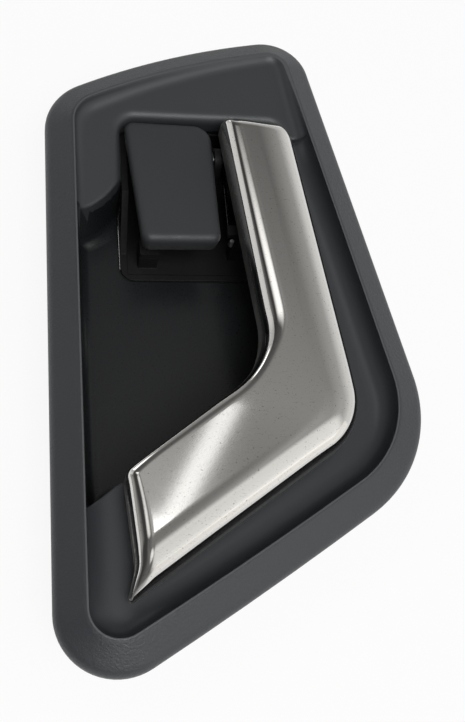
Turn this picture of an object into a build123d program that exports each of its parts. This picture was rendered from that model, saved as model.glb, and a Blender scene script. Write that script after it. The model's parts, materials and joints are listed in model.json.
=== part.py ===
"""Car interior door handle: bezel with finger cup, chrome pull lever, lock knob and their mechanism.

Millimetres. X runs across the handle, Y along it towards the lock knob, and Z out of the door towards
the cabin. The origin is the centre of the bezel's outline, on the plane where its rim meets the trim.
"""

import os
from math import atan2, cos, degrees, radians, sin, sqrt, tan

from build123d import *

os.makedirs("parts", exist_ok=True)

# Bezel outline: four corners before rounding, and the bow of the top and bottom edges
corner_top_left = (-44.7, 61.3)
corner_top_right = (25.9, 85.4)
corner_right = (48.1, -40.5)
corner_bottom_left = (-44.7, -95.0)
top_bow = 3.8
bottom_bow = 1.2
radius_top_left = 16.0
radius_top_right = 12.0
radius_right = 33.0
radius_bottom_left = 14.0

# Bezel section
rim_width = 7.4
rim_crest = 6.5
rim_fall = 3.9
rim_roll = 2.6
rim_flat = 0.4
rim_groove = (2.2, 5.2)
rim_groove_depth = 1.8
wall = 2.2
tray_floor = 0.0
shelf_edge_y = 58.0
shelf_edge_z = 3.4
shelf_slope = 7.0
shelf_step_y = 51.0
shelf_round = 3.5
shelf_lip_round = 2.5
tray_round = 5.5
cup_floor = -16.0
cup_draft = 4.0
cup_round = 3.0
back_plane = cup_floor - wall

# Window through the bezel for the knob and the lever's hub
window_left = -25.3
window_right = 18.2
window_bottom = 17.2
window_top = 55.8
window_round = 4.0

# Finger cup outline on the tray
cup_left = corner_top_left[0] + rim_width
cup_top_start = (cup_left, 29.0)
cup_top_bulge = (-30.4, 33.0)
cup_top_end = (window_left, 40.5)
cup_right_top = (13.0, 40.5)
cup_elbow = (16.2, -22.9)
cup_under_arm = (-20.0, -50.1)
cup_tongue = (-27.2, -41.9)
cup_foot = (cup_left, -50.0)
cup_corner_round = 4.0
cup_shell_round = 2.0
cup_elbow_round = 8.0

# Lever outline: the inner edge faces the cup
lever_top_left = (0.2, 52.4)
lever_top_right = (18.9, 50.2)
lever_outer_elbow = (28.0, -33.7)
lever_tip = (-29.5, -71.8)
lever_waist = (-27.3, -64.0)
lever_end = (-28.9, -43.6)
lever_inner_elbow = (6.4, -17.8)
lever_round_top_left = 1.8
lever_round_top_right = 8.0
lever_round_outer = 16.0
lever_round_tip = 0.8
lever_round_waist = 8.0
lever_round_end = 2.6
lever_round_inner = 14.0
lever_bottom = 3.6
lever_face = 12.0
lever_bevel_width = 4.8
lever_bevel_drop = 4.8
lever_ridge_round = 2.5
lever_edge_width = 1.7
lever_edge_drop = 1.5
lever_edge_round = 0.8
lever_edge_foot_round = 0.6
lever_top_round = 2.5
edge_overrun = 1.6
lever_wall = 1.7
lever_ceiling = lever_face - 2.0
arm_gap = 0.3
arm_back = 4.0
arm_plate = 2.4

# Pivot shared by the lever and the knob
pivot_y = 46.0
pivot_z = -1.0
pin_radius = 2.0
running_gap = 0.05
hub_radius = 5.0
pin_left = -20.4
pin_right = 17.6
lever_hub = (2.0, 12.9)
coil_seat = (2.0, 8.2)
arm_neck = (41.0, 48.8)
coil_seat_radius = 3.2

# Knob
knob_top_left = (-24.0, 54.2)
knob_top_right = (-0.9, 53.6)
knob_bottom_right = (-0.9, 16.4)
knob_bottom_left = (-20.9, 16.2)
knob_face_top = 4.0
knob_face_bottom = 5.0
knob_wall = 1.8
knob_hub_radius = 4.4

# Base frame
frame_gap = 0.25
frame_left = window_left + frame_gap
frame_right = window_right - frame_gap
frame_bottom = window_bottom + frame_gap
frame_top = 57.5
frame_corner = window_round - frame_gap
frame_rim = -3.4
frame_wall = 1.8
frame_lip = cup_floor
ear_radius = 3.0
cable_slots = (-12.5, 10.9)
cable_slot_width = 3.2
cable_slot_top = -10.5
ears = ((-20.2, -18.5), (-0.6, 1.4), (13.5, 15.3))
screw_points = ((-31.0, 50.0), (-12.0, 63.0), (9.0, 63.0), (22.6, 38.0))
tab_roots = ((frame_left + 1, 50.0), (-12.0, frame_top - 1), (9.0, frame_top - 1), (frame_right - 1, 38.0))
tab_top = -8.0
tab_thickness = 2.0
tab_radius = 3.6

# Fixings
fixing_points = ((-26.0, -63.5), (28.0, -36.0), (19.0, 72.0))
fixing_boss_ends = (-12.0, -11.6, -12.4)
fixing_hole_depths = (9.5, 8.7, 9.1)
fixing_boss_radius = 4.0
fixing_hole_radius = 1.7
screw_radius = 1.45
screw_play = 0.15
screw_end_gap = 0.6
screw_head_radius = 2.9
screw_head = 1.9
screw_boss_radius = 3.2
pilot_radius = 1.5
pilot_depth = 6.6
bumper_points = ((-17.0, -55.0), (21.3, -27.0))
bumper_head_radius = 2.8
bumper_neck_radius = 1.6
bumper_bulb_radius = 2.2
bumper_bulb_length = 2.4
bumper_bulb_tip = 1.0
bumper_head_chamfer = 1.2
bumper_gap = 0.3
cover_screw_points = ((10.5, 20.0), (-6.0, -41.0))
cover_screw_radius = 0.95
cover_screw_head_radius = 2.2
cover_screw_head = 1.1
cover_screw_play = 0.2
cover_screw_head_play = 0.1
cover_screw_end_gap = 0.8
cover_boss_radius = 2.8

# Springs
wire_radius = 0.55
wire_sides = 8
coil_radius = 4.3
coil_turns = 3
coil_start_x = 2.7
coil_end_x = 7.3
fixed_leg_y = 21.8
fixed_leg_rise = 3.0
moving_leg_y = 52.6
leaf_thickness = 0.5
leaf_width = 6.0
leaf_left = -9.2
leaf_seat = (30.0, 36.0)
leaf_crest = ((43.0, -7.6), (46.0, -6.2), (49.0, -7.6))

frame_inside = back_plane + frame_wall
knob_post = ((-20.5, 21.5, frame_inside), (-15.5, 26.5, -11.4))
knob_pad = ((-20.5, 21.5, -11.4), (-15.5, 26.5, -9.5))
lever_post = ((8.9, 28.6, frame_inside), (12.9, 32.6, -7.5))
lever_pad = ((8.9, 32.6, -14.5), (12.9, 34.6, -7.5))
hook_post = ((4.0, 24.0, frame_inside), (5.8, 27.0, -2.9))
hook_nose = ((1.9, 24.0, -4.5), (4.0, 27.0, -2.9))
leaf_peg = (-6.2, 33.0)
leaf_peg_radius = 1.2
lever_crank_x = (9.3, 12.5)
lever_crank_tip = (43.5, -12.0)
knob_crank_x = (-14.1, -10.9)
knob_crank_tip = (44.0, -12.0)
crank_tip_radius = 3.0
crank_root_half = 4.0
cable_nipple_radius = 1.6
spring_lug_root = ((8.2, 48.0, -4.5), (10.0, 52.8, -2.9))
spring_lug = ((6.4, 50.8, -4.5), (8.2, 52.8, -2.9))
knob_round_small = 2.2
knob_round_large = 5.0
knob_edge_round = 2.0
knob_back_bottom = -0.6
knob_back_belly = ((36.0, -4.0), (42.5, -2.0))
knob_back_top = -2.0
knob_hub = (-17.8, -1.2)
knob_rib = ((-20.6, 22.4, -3.2), (-1.6, 24.2, 3.4))
knob_washer_x = (-18.4, -17.9)
lever_washer_x = (13.0, 13.4)
washer_radius = 3.1
clip_x = 15.4
clip_thickness = 0.6
clip_radius = 3.6
clip_groove_radius = 1.5
clip_play = 0.05
clip_mouth = 2.55
pin_chamfer = 0.4
pad_round = 0.6
touch = 0.01
far = 120.0

shelf_plane = Plane(
    origin=(0, shelf_edge_y, shelf_edge_z),
    x_dir=(1, 0, 0),
    z_dir=(0, -sin(radians(shelf_slope)), cos(radians(shelf_slope))),
)


def corner(sketch, point):
    """The sketch vertex nearest to a point."""
    return sketch.vertices().sort_by_distance((point[0], point[1], 0))[0]


def crank_profile(tip):
    """Side view of a crank, from the width of its hub to its tip."""
    return (
        (pivot_y - crank_root_half, pivot_z),
        (pivot_y + crank_root_half, pivot_z),
        (tip[0] + crank_tip_radius, tip[1]),
        (tip[0] - crank_tip_radius, tip[1]),
    )


def boss_root(y):
    """Height at which a boss behind the bezel ends inside its deck, or inside its shelf."""
    shelf_back = shelf_edge_z + (y - shelf_edge_y) * tan(radians(shelf_slope)) - wall
    return shelf_back + 1.2 if y > shelf_edge_y else tray_floor - 0.6


# Outlines shared by several pieces
with BuildSketch() as plate_outline:
    with BuildLine():
        Line(corner_bottom_left, corner_top_left)
        SagittaArc(corner_top_left, corner_top_right, top_bow)
        Line(corner_top_right, corner_right)
        SagittaArc(corner_right, corner_bottom_left, bottom_bow)
    make_face()
    fillet(corner(plate_outline, corner_top_left), radius_top_left)
    fillet(corner(plate_outline, corner_top_right), radius_top_right)
    fillet(corner(plate_outline, corner_right), radius_right)
    fillet(corner(plate_outline, corner_bottom_left), radius_bottom_left)

with BuildSketch() as lever_outline:
    with BuildLine():
        Polyline(
            lever_top_left,
            lever_top_right,
            lever_outer_elbow,
            lever_tip,
            lever_waist,
            lever_end,
            lever_inner_elbow,
            close=True,
        )
    make_face()
    fillet(corner(lever_outline, lever_top_left), lever_round_top_left)
    fillet(corner(lever_outline, lever_top_right), lever_round_top_right)
    fillet(corner(lever_outline, lever_outer_elbow), lever_round_outer)
    fillet(corner(lever_outline, lever_tip), lever_round_tip)
    fillet(corner(lever_outline, lever_waist), lever_round_waist)
    fillet(corner(lever_outline, lever_end), lever_round_end)
    fillet(corner(lever_outline, lever_inner_elbow), lever_round_inner)

# The bevel runs along the lever's two outer sides, so its region follows only those
bevel_angle = degrees(atan2(lever_bevel_width, lever_bevel_drop))
elbow_point = Vector(*lever_outer_elbow)
bevel_up = elbow_point + (Vector(*lever_top_right) - elbow_point) * edge_overrun
bevel_left = elbow_point + (Vector(*lever_tip) - elbow_point) * edge_overrun
with BuildSketch() as bevel_region:
    with BuildLine():
        Polyline(bevel_up, elbow_point, bevel_left, (-far, far), close=True)
    make_face()
    fillet(corner(bevel_region, lever_outer_elbow), lever_round_outer)

# The small chamfer follows the lever's inner edge and its end
inner_point = Vector(*lever_inner_elbow)
end_point = Vector(*lever_end)
edge_up = inner_point + (Vector(*lever_top_left) - inner_point) * edge_overrun
waist_point = Vector(*lever_waist)
edge_down = waist_point + (Vector(*lever_tip) - waist_point) * 2 * edge_overrun
with BuildSketch() as edge_region:
    with BuildLine():
        Polyline(edge_up, inner_point, end_point, waist_point, edge_down, (far, -far), (far, far), close=True)
    make_face()
    fillet(corner(edge_region, lever_inner_elbow), lever_round_inner)
    fillet(corner(edge_region, lever_end), lever_round_end)
    fillet(corner(edge_region, lever_waist), lever_round_waist)

with BuildSketch() as cup_outline:
    with BuildLine():
        ThreePointArc(cup_top_start, cup_top_bulge, cup_top_end)
        Polyline(cup_top_end, cup_right_top, cup_elbow, cup_under_arm, cup_tongue, cup_foot, cup_top_start)
    make_face()
    fillet(corner(cup_outline, cup_elbow), cup_elbow_round)
    for point in (cup_under_arm, cup_tongue):
        fillet(corner(cup_outline, point), cup_corner_round)

# Hollows of the bezel, each with the rounding that its foot has
zone_x = window_left + window_round
shelf_zone = (
    (-far, cup_top_start[1]),
    (zone_x, cup_top_start[1]),
    (zone_x, shelf_step_y),
    (far, shelf_step_y),
    (far, far),
    (-far, far),
)
tray_zone = (
    (-far, cup_top_start[1]),
    (zone_x, cup_top_start[1]),
    (zone_x, shelf_step_y),
    (far, shelf_step_y),
    (far, -far),
    (-far, -far),
)

with BuildPart() as shelf_hollow:
    with BuildSketch(Plane.XY.offset(back_plane)):
        add(plate_outline.sketch)
        offset(amount=-rim_width)
        with BuildLine():
            Polyline(*shelf_zone, close=True)
        make_face(mode=Mode.INTERSECT)
    extrude(amount=rim_crest - back_plane + 1)
    split(bisect_by=shelf_plane, keep=Keep.TOP)
    shelf_face = shelf_hollow.faces().sort_by(Axis.Z)[0]
    left_foot = shelf_face.edges().filter_by(lambda e: e.center().X < window_left - 5)
    top_foot = shelf_face.edges().filter_by(lambda e: e.center().Y > shelf_step_y + 2)
    rim_foot = set(left_foot + top_foot)
    fillet([e for e in rim_foot if e.center().Y > cup_top_start[1] + 1], shelf_round)

with BuildPart() as tray_hollow:
    with BuildSketch(Plane.XY.offset(tray_floor)):
        add(plate_outline.sketch)
        offset(amount=-rim_width)
        with BuildLine():
            Polyline(*tray_zone, close=True)
        make_face(mode=Mode.INTERSECT)
    extrude(amount=rim_crest + 1)
    tray_foot = tray_hollow.faces().sort_by(Axis.Z)[0].edges()
    fillet(tray_foot.filter_by_position(Axis.Y, -far, cup_top_start[1] - 1), tray_round)

with BuildPart() as cup_hollow:
    with BuildSketch(Plane.XY.offset(rim_crest)):
        add(cup_outline.sketch)
    extrude(amount=cup_floor - rim_crest, taper=cup_draft)
    fillet(cup_hollow.faces().sort_by(Axis.Z)[0].edges(), cup_round)

with BuildPart() as cup_shell:
    with BuildSketch(Plane.XY.offset(tray_floor)):
        add(cup_outline.sketch)
        offset(amount=wall)
    extrude(amount=back_plane)
    fillet(cup_shell.faces().sort_by(Axis.Z)[0].edges(), cup_shell_round)

with BuildPart() as shelf_core:
    with BuildSketch(Plane.XY.offset(tray_floor - wall - 1)):
        add(plate_outline.sketch)
        offset(amount=-rim_width)
        with Locations((0, window_top + wall)):
            Rectangle(2 * far, far, align=(Align.CENTER, Align.MIN), mode=Mode.INTERSECT)
    extrude(amount=rim_crest + wall)
    split(bisect_by=shelf_plane.offset(-wall), keep=Keep.BOTTOM)

# Bezel: rim, deck and cup shell, less the hollows and the window
with BuildPart() as bezel:
    with BuildSketch():
        add(plate_outline.sketch)
    extrude(amount=rim_crest)
    rim_top = bezel.faces().sort_by(Axis.Z)[-1]
    chamfer(rim_top.edges(), length=rim_width - rim_flat, length2=rim_fall, reference=rim_top)
    fillet(bezel.edges().filter_by(lambda e: abs(e.center().Z - rim_crest + rim_fall) < touch), rim_roll)
    with BuildSketch(Plane.XY.offset(tray_floor - wall)):
        add(plate_outline.sketch)
        offset(amount=wall - rim_width)
    extrude(amount=wall)
    # groove behind the rim, so that only its edge seats on the trim
    with BuildSketch():
        offset(plate_outline.sketch, amount=-rim_groove[0], mode=Mode.ADD)
        offset(plate_outline.sketch, amount=-rim_groove[1], mode=Mode.SUBTRACT)
    extrude(amount=rim_groove_depth, mode=Mode.SUBTRACT)
    add(cup_shell.part)
    add(shelf_hollow.part, mode=Mode.SUBTRACT)
    add(tray_hollow.part, mode=Mode.SUBTRACT)
    add(cup_hollow.part, mode=Mode.SUBTRACT)
    with BuildSketch(Plane.XY.offset(back_plane - 1)):
        with Locations(((window_left + window_right) / 2, (window_bottom + window_top) / 2)):
            RectangleRounded(window_right - window_left, window_top - window_bottom, window_round)
    extrude(amount=rim_crest - back_plane + 2, mode=Mode.SUBTRACT)
    on_shelf = bezel.edges().filter_by(lambda e: abs(shelf_plane.to_local_coords(e.center()).Z) < touch)
    shelf_lip = on_shelf.filter_by_position(Axis.X, window_left - touch, window_right + touch)
    fillet(shelf_lip.filter_by_position(Axis.Y, cup_top_end[1], window_top + touch), shelf_lip_round)
    add(shelf_core.part, mode=Mode.SUBTRACT)
    for x, y in screw_points:
        with BuildSketch(Plane.XY.offset(tab_top)):
            with Locations((x, y)):
                Circle(screw_boss_radius)
        extrude(amount=boss_root(y) - tab_top)
        with BuildSketch(Plane.XY.offset(tab_top)):
            with Locations((x, y)):
                Circle(pilot_radius)
        extrude(amount=pilot_depth, mode=Mode.SUBTRACT)
    for (x, y), boss_end, depth in zip(fixing_points, fixing_boss_ends, fixing_hole_depths):
        with BuildSketch(Plane.XY.offset(boss_end)):
            with Locations((x, y)):
                Circle(fixing_boss_radius)
        extrude(amount=boss_root(y) - boss_end)
        with BuildSketch(Plane.XY.offset(boss_end)):
            with Locations((x, y)):
                Circle(fixing_hole_radius)
        extrude(amount=depth, mode=Mode.SUBTRACT)
    with BuildSketch(Plane.XY.offset(tray_floor - wall - 1)):
        with Locations(*bumper_points):
            Circle(bumper_neck_radius + running_gap)
    extrude(amount=wall + 2, mode=Mode.SUBTRACT)
bezel.part.label = "bezel"
export_step(bezel.part, "parts/bezel.step")

# Base frame: a tub behind the window, with ears for the pivot pin and tabs for its screws
with BuildPart() as base_frame:
    with BuildSketch(Plane.XY.offset(back_plane)):
        with Locations(((frame_left + frame_right) / 2, (frame_bottom + frame_top) / 2)):
            RectangleRounded(frame_right - frame_left, frame_top - frame_bottom, frame_corner)
    extrude(amount=frame_rim - back_plane)
    with BuildSketch(Plane.XY.offset(frame_inside)):
        with Locations(((frame_left + frame_right) / 2, (frame_bottom + frame_top) / 2)):
            Rectangle(frame_right - frame_left - 2 * frame_wall, frame_top - frame_bottom - 2 * frame_wall)
    extrude(amount=frame_rim - frame_inside, mode=Mode.SUBTRACT)
    with BuildSketch(Plane.YZ.offset(frame_left - 1)):
        with BuildLine():
            Polyline(
                (frame_bottom - 1, frame_lip),
                (frame_bottom + 8, frame_lip),
                (pivot_y - ear_radius - 6, frame_rim),
                (frame_bottom - 1, frame_rim),
                close=True,
            )
        make_face()
    extrude(amount=frame_right - frame_left + 2, mode=Mode.SUBTRACT)
    for left, right in ears:
        with BuildSketch(Plane.YZ.offset(left)):
            with Locations((pivot_y, pivot_z)):
                Circle(ear_radius)
            with Locations((pivot_y, (pivot_z + frame_inside) / 2)):
                Rectangle(2 * ear_radius, pivot_z - frame_inside)
        extrude(amount=right - left)
    for point, root in zip(screw_points, tab_roots):
        with BuildSketch(Plane.XY.offset(tab_top - tab_thickness)):
            with BuildLine() as tab_line:
                Line(point, root)
            trace(tab_line.line, line_width=2 * tab_radius)
            with Locations(point):
                Circle(tab_radius)
                Circle(screw_radius + screw_play, mode=Mode.SUBTRACT)
        extrude(amount=tab_thickness)
    # posts for the rubber pads, the hook for the spring's fixed leg and the leaf spring's peg
    for low, high in (knob_post, lever_post, hook_post, hook_nose):
        size = tuple(b - a for a, b in zip(low, high))
        with Locations(low):
            Box(*size, align=(Align.MIN, Align.MIN, Align.MIN))
    with BuildSketch(Plane.XY.offset(frame_inside)):
        with Locations(leaf_peg):
            Circle(leaf_peg_radius)
    extrude(amount=2 * leaf_thickness)
    # slots where the two cable sheaths drop in from behind
    for x in cable_slots:
        with BuildSketch(Plane.XZ.offset(-frame_top - 1)):
            with Locations((x, cable_slot_top)):
                Circle(cable_slot_width / 2)
            with Locations((x, (cable_slot_top + back_plane) / 2)):
                Rectangle(cable_slot_width, cable_slot_top - back_plane + 0.1)
        extrude(amount=frame_wall + 2, mode=Mode.SUBTRACT)
    with BuildSketch(Plane.YZ.offset(ears[0][0] - 1)):
        with Locations((pivot_y, pivot_z)):
            Circle(pin_radius + running_gap)
    extrude(amount=frame_right - ears[0][0] + 2, mode=Mode.SUBTRACT)
base_frame.part.label = "base_frame"
export_step(base_frame.part, "parts/base_frame.step")

# Four screws that hold the base frame to the bezel's bosses
with BuildPart() as base_screws:
    with BuildSketch(Plane.XY.offset(tab_top - tab_thickness - screw_head)):
        with Locations(*screw_points):
            Circle(screw_head_radius)
    extrude(amount=screw_head)
    with BuildSketch(Plane.XY.offset(tab_top - tab_thickness)):
        with Locations(*screw_points):
            Circle(screw_radius)
    extrude(amount=tab_thickness + pilot_depth - screw_end_gap)
    chamfer(base_screws.edges().group_by(Axis.Z)[0], screw_head / 2)
base_screws.part.label = "base_screws"
export_step(base_screws.part, "parts/base_screws.step")


def lever_body(inset, bottom, top):
    """The lever's bar with its bevelled outer edge, drawn in by inset from its outer skin."""
    bevel_start = lever_face - lever_bevel_drop - inset * (sqrt(2) - 1)
    with BuildPart() as body:
        with BuildSketch(Plane.XY.offset(bevel_start)):
            add(bevel_region.sketch)
            offset(amount=-inset)
        extrude(amount=top - bevel_start, taper=bevel_angle)
        with BuildSketch(Plane.XY.offset(bevel_start)):
            add(lever_outline.sketch)
            offset(amount=-inset)
        extrude(amount=top - bevel_start, mode=Mode.INTERSECT)
        with BuildSketch(Plane.XY.offset(bottom)):
            add(lever_outline.sketch)
            offset(amount=-inset)
        extrude(amount=bevel_start - bottom)
    return body.part


def slope_edges(part, taper, height):
    """Edges at one height of the faces that a tapered extrusion left at its slope."""
    slopes = part.faces().filter_by(lambda f: abs(f.normal_at().Z - sin(radians(taper))) < touch)
    return [e for f in slopes for e in f.edges() if abs(e.center().Z - height) < touch]


# What the small chamfer along the lever's inner edge and round its end takes off
edge_angle = degrees(atan2(lever_edge_width, lever_edge_drop))
with BuildPart() as edge_cut:
    with BuildSketch(Plane.XY.offset(lever_face - lever_edge_drop)):
        Rectangle(4 * far, 4 * far)
    extrude(amount=2 * lever_edge_drop)
    with BuildSketch(Plane.XY.offset(lever_face - lever_edge_drop)):
        add(edge_region.sketch)
    extrude(amount=2 * lever_edge_drop, taper=edge_angle, mode=Mode.SUBTRACT)

# What the rounding of the lever's top end takes off
top_run = (Vector(*lever_top_right) - Vector(*lever_top_left)).normalized()
top_plane = Plane(
    origin=(*lever_top_left, lever_face),
    x_dir=(top_run.Y, -top_run.X, 0),
    z_dir=(top_run.X, top_run.Y, 0),
)
with BuildPart() as top_cut:
    with BuildSketch(top_plane):
        with Locations((lever_top_round, lever_top_round)):
            Rectangle(2 * lever_top_round, 2 * lever_top_round, align=(Align.MAX, Align.MAX))
            Circle(lever_top_round, mode=Mode.SUBTRACT)
    extrude(amount=far, both=True)

# Lever cover: hollow plated shell with two screw bosses inside
with BuildPart() as lever_cover:
    add(lever_body(0, lever_bottom, lever_face))
    add(edge_cut.part, mode=Mode.SUBTRACT)
    fillet(slope_edges(lever_cover, bevel_angle, lever_face), lever_ridge_round)
    fillet(slope_edges(lever_cover, edge_angle, lever_face), lever_edge_round)
    fillet(slope_edges(lever_cover, edge_angle, lever_face - lever_edge_drop), lever_edge_foot_round)
    add(top_cut.part, mode=Mode.SUBTRACT)
    add(lever_body(lever_wall, lever_bottom - 1, lever_ceiling), mode=Mode.SUBTRACT)
    with BuildSketch(Plane.XY.offset(arm_back + arm_plate)):
        with Locations(*cover_screw_points):
            Circle(cover_boss_radius)
            Circle(cover_screw_radius + running_gap, mode=Mode.SUBTRACT)
    extrude(amount=lever_ceiling - arm_back - arm_plate)
lever_cover.part.label = "lever_cover"
export_step(lever_cover.part, "parts/lever_cover.step")

# Lever arm: carrier plate inside the cover, hub on the pivot and crank for the latch cable
with BuildPart() as lever_arm:
    with BuildSketch(Plane.XY.offset(arm_back)):
        add(lever_outline.sketch)
        offset(amount=-lever_wall - arm_gap)
    extrude(amount=arm_plate)
    with BuildSketch(Plane.YZ.offset(coil_seat[1])):
        with Locations((pivot_y, pivot_z)):
            Circle(hub_radius)
        with Locations((arm_neck[0], pivot_z)):
            Rectangle(arm_neck[1] - arm_neck[0], arm_back - pivot_z, align=(Align.MIN, Align.MIN))
    extrude(amount=lever_hub[1] - coil_seat[1])
    with BuildSketch(Plane.YZ.offset(coil_seat[0])):
        with Locations((pivot_y, pivot_z)):
            Circle(coil_seat_radius)
    extrude(amount=coil_seat[1] - coil_seat[0])
    with BuildSketch(Plane.YZ.offset(lever_crank_x[0])):
        with BuildLine():
            Polyline(*crank_profile(lever_crank_tip), close=True)
        make_face()
        with Locations(lever_crank_tip):
            Circle(crank_tip_radius)
            Circle(cable_nipple_radius, mode=Mode.SUBTRACT)
    extrude(amount=lever_crank_x[1] - lever_crank_x[0])
    for low, high in (spring_lug_root, spring_lug):
        size = tuple(b - a for a, b in zip(low, high))
        with Locations(low):
            Box(*size, align=(Align.MIN, Align.MIN, Align.MIN))
    with BuildSketch(Plane.XY.offset(arm_back)):
        with Locations(*cover_screw_points):
            Circle(cover_screw_radius + cover_screw_play)
    extrude(amount=arm_plate, mode=Mode.SUBTRACT)
    with BuildSketch(Plane.XY.offset(arm_back)):
        with Locations(*cover_screw_points):
            Circle(cover_screw_head_radius + cover_screw_head_play)
    extrude(amount=cover_screw_head, mode=Mode.SUBTRACT)
    with BuildSketch(Plane.YZ.offset(lever_hub[0] - 1)):
        with Locations((pivot_y, pivot_z)):
            Circle(pin_radius + running_gap)
    extrude(amount=lever_hub[1] - lever_hub[0] + 2, mode=Mode.SUBTRACT)
lever_arm.part.label = "lever_arm"
export_step(lever_arm.part, "parts/lever_arm.step")

# Two screws that hold the cover on the arm
with BuildPart() as cover_screws:
    with BuildSketch(Plane.XY.offset(arm_back)):
        with Locations(*cover_screw_points):
            Circle(cover_screw_head_radius)
    extrude(amount=cover_screw_head)
    with BuildSketch(Plane.XY.offset(arm_back + cover_screw_head)):
        with Locations(*cover_screw_points):
            Circle(cover_screw_radius)
    extrude(amount=lever_ceiling - arm_back - cover_screw_head - cover_screw_end_gap)
cover_screws.part.label = "cover_screws"
export_step(cover_screws.part, "parts/cover_screws.step")


def knob_body(inset, below_face):
    """The knob's block: its plan outline drawn in by inset, under its sloping face."""
    with BuildPart() as body:
        with BuildSketch(Plane.XY.offset(back_plane)):
            with BuildLine():
                Polyline(knob_top_left, knob_top_right, knob_bottom_right, knob_bottom_left, close=True)
            face = make_face()
            fillet(corner(face, knob_top_left), knob_round_small)
            fillet(corner(face, knob_top_right), knob_round_large)
            fillet(corner(face, knob_bottom_right), knob_round_small)
            fillet(corner(face, knob_bottom_left), knob_round_small)
            offset(amount=-inset)
        extrude(amount=2 * rim_crest - back_plane)
        with BuildSketch(Plane.YZ.offset(knob_top_left[0] - 5)):
            with BuildLine():
                Polyline(
                    (knob_top_left[1], knob_face_top - below_face),
                    (knob_bottom_left[1], knob_face_bottom - below_face),
                    (knob_bottom_left[1], knob_back_bottom),
                    *knob_back_belly,
                    (knob_top_left[1], knob_back_top),
                    close=True,
                )
            make_face()
        extrude(amount=knob_top_right[0] - knob_top_left[0] + 10, mode=Mode.INTERSECT)
    return body.part


# Lock knob: hollow flap with a hub, a stop rib and a crank for the lock cable
with BuildPart() as lock_knob:
    add(knob_body(0, 0))
    knob_face = lock_knob.faces().sort_by(Axis.Z)[-1]
    fillet(knob_face.edges(), knob_edge_round)
    add(knob_body(knob_wall, knob_wall), mode=Mode.SUBTRACT)
    with BuildSketch(Plane.YZ.offset(knob_hub[0])):
        with Locations((pivot_y, pivot_z)):
            Circle(knob_hub_radius)
    extrude(amount=knob_hub[1] - knob_hub[0])
    with Locations(knob_rib[0]):
        Box(*(b - a for a, b in zip(*knob_rib)), align=(Align.MIN, Align.MIN, Align.MIN))
    with BuildSketch(Plane.YZ.offset(knob_crank_x[0])):
        with BuildLine():
            Polyline(*crank_profile(knob_crank_tip), close=True)
        make_face()
        with Locations(knob_crank_tip):
            Circle(crank_tip_radius)
            Circle(cable_nipple_radius, mode=Mode.SUBTRACT)
    extrude(amount=knob_crank_x[1] - knob_crank_x[0])
    with BuildSketch(Plane.YZ.offset(knob_hub[0] - 2)):
        with Locations((pivot_y, pivot_z)):
            Circle(pin_radius + running_gap)
    extrude(amount=knob_hub[1] - knob_hub[0] + 4, mode=Mode.SUBTRACT)
lock_knob.part.label = "lock_knob"
export_step(lock_knob.part, "parts/lock_knob.step")

# Pivot pin with a groove for the clip that sits between the frame's last ear and its side wall
with BuildPart() as pivot_pin:
    with BuildSketch(Plane.YZ.offset(pin_left)):
        with Locations((pivot_y, pivot_z)):
            Circle(pin_radius)
    extrude(amount=pin_right - pin_left)
    chamfer(pivot_pin.edges().filter_by(GeomType.CIRCLE), pin_chamfer)
    with BuildSketch(Plane.YZ.offset(clip_x)):
        with Locations((pivot_y, pivot_z)):
            Circle(pin_radius + 1)
            Circle(clip_groove_radius, mode=Mode.SUBTRACT)
    extrude(amount=clip_thickness + 2 * clip_play, mode=Mode.SUBTRACT)
pivot_pin.part.label = "pivot_pin"
export_step(pivot_pin.part, "parts/pivot_pin.step")

# Retaining clip: an open ring pushed into the pin's groove from one side
with BuildPart() as pin_clip:
    with BuildSketch(Plane.YZ.offset(clip_x + clip_play)):
        with Locations((pivot_y, pivot_z)):
            Circle(clip_radius)
            Circle(clip_groove_radius + clip_play, mode=Mode.SUBTRACT)
        with Locations((pivot_y, pivot_z - clip_radius)):
            Rectangle(clip_mouth, 2 * clip_radius, mode=Mode.SUBTRACT)
    extrude(amount=clip_thickness)
pin_clip.part.label = "pin_clip"
export_step(pin_clip.part, "parts/pin_clip.step")


def thrust_washer(left, right):
    """A thin washer on the pivot pin between two X positions."""
    with BuildPart() as washer:
        with BuildSketch(Plane.YZ.offset(left)):
            with Locations((pivot_y, pivot_z)):
                Circle(washer_radius)
                Circle(pin_radius + running_gap, mode=Mode.SUBTRACT)
        extrude(amount=right - left)
    return washer.part


for washer_name, washer_span in (("knob_washer", knob_washer_x), ("lever_washer", lever_washer_x)):
    washer_part = thrust_washer(*washer_span)
    washer_part.label = washer_name
    export_step(washer_part, f"parts/{washer_name}.step")

# Lever return spring: three turns round the hub, one leg hooked on the frame, one under the lever's lug
leg_z = pivot_z - coil_radius
with BuildPart() as lever_return_spring:
    with BuildLine() as coil_path:
        Helix(
            (coil_end_x - coil_start_x) / coil_turns,
            coil_end_x - coil_start_x,
            coil_radius,
            center=(coil_end_x, pivot_y, pivot_z),
            direction=(-1, 0, 0),
        )
    with BuildSketch(Plane(origin=coil_path.line @ 0, z_dir=coil_path.line % 0)):
        RegularPolygon(wire_radius, wire_sides)
    sweep(path=coil_path.line, is_frenet=True)
    with BuildLine() as fixed_leg:
        FilletPolyline(
            (coil_start_x, pivot_y, leg_z),
            (coil_start_x, fixed_leg_y, leg_z),
            (coil_start_x, fixed_leg_y, leg_z + fixed_leg_rise),
            radius=2 * wire_radius,
        )
    with BuildSketch(Plane(origin=fixed_leg.line @ 0, z_dir=fixed_leg.line % 0)):
        Circle(wire_radius)
    sweep(path=fixed_leg.line)
    with BuildSketch(Plane.XZ.offset(-pivot_y)):
        with Locations((coil_end_x, leg_z)):
            Circle(wire_radius)
    extrude(amount=pivot_y - moving_leg_y)
lever_return_spring.part.label = "lever_return_spring"
export_step(lever_return_spring.part, "parts/lever_return_spring.step")

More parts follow.
